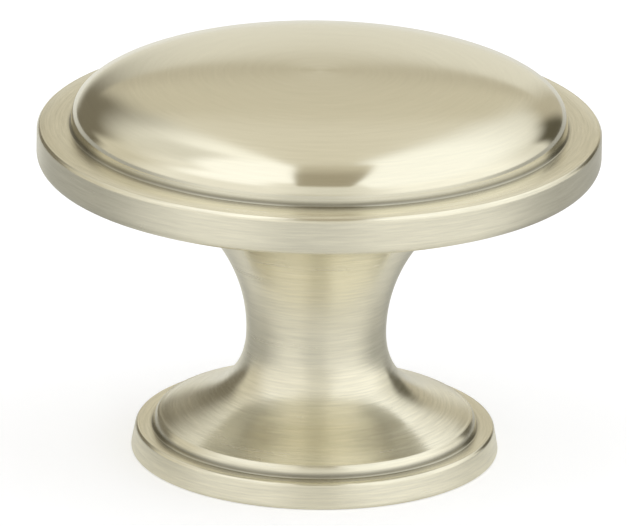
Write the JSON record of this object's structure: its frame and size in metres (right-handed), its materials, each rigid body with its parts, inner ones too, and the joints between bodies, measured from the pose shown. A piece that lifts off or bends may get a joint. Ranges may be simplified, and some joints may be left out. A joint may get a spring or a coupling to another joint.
{
  "type": "cabinet knob",
  "caption": "Round one-piece cabinet knob: broad rimmed head with a shallow dome, waisted neck, stepped round base, and a blind threaded hole in its flat back",
  "frame": {"origin": "centre of the flat back, on the knob's axis", "axes": "+Z along the axis, from the back that seats on the door to the crown of the dome; X and Y lie in the plane of the back"},
  "size_m": [0.035, 0.035, 0.0247],
  "materials": {
    "brushed_nickel": "warm brushed nickel plating with fine brushing that runs round the axis"
  },
  "bodies": {
    "root": {"knob_body": "brushed_nickel"}
  },
  "joints": []
}
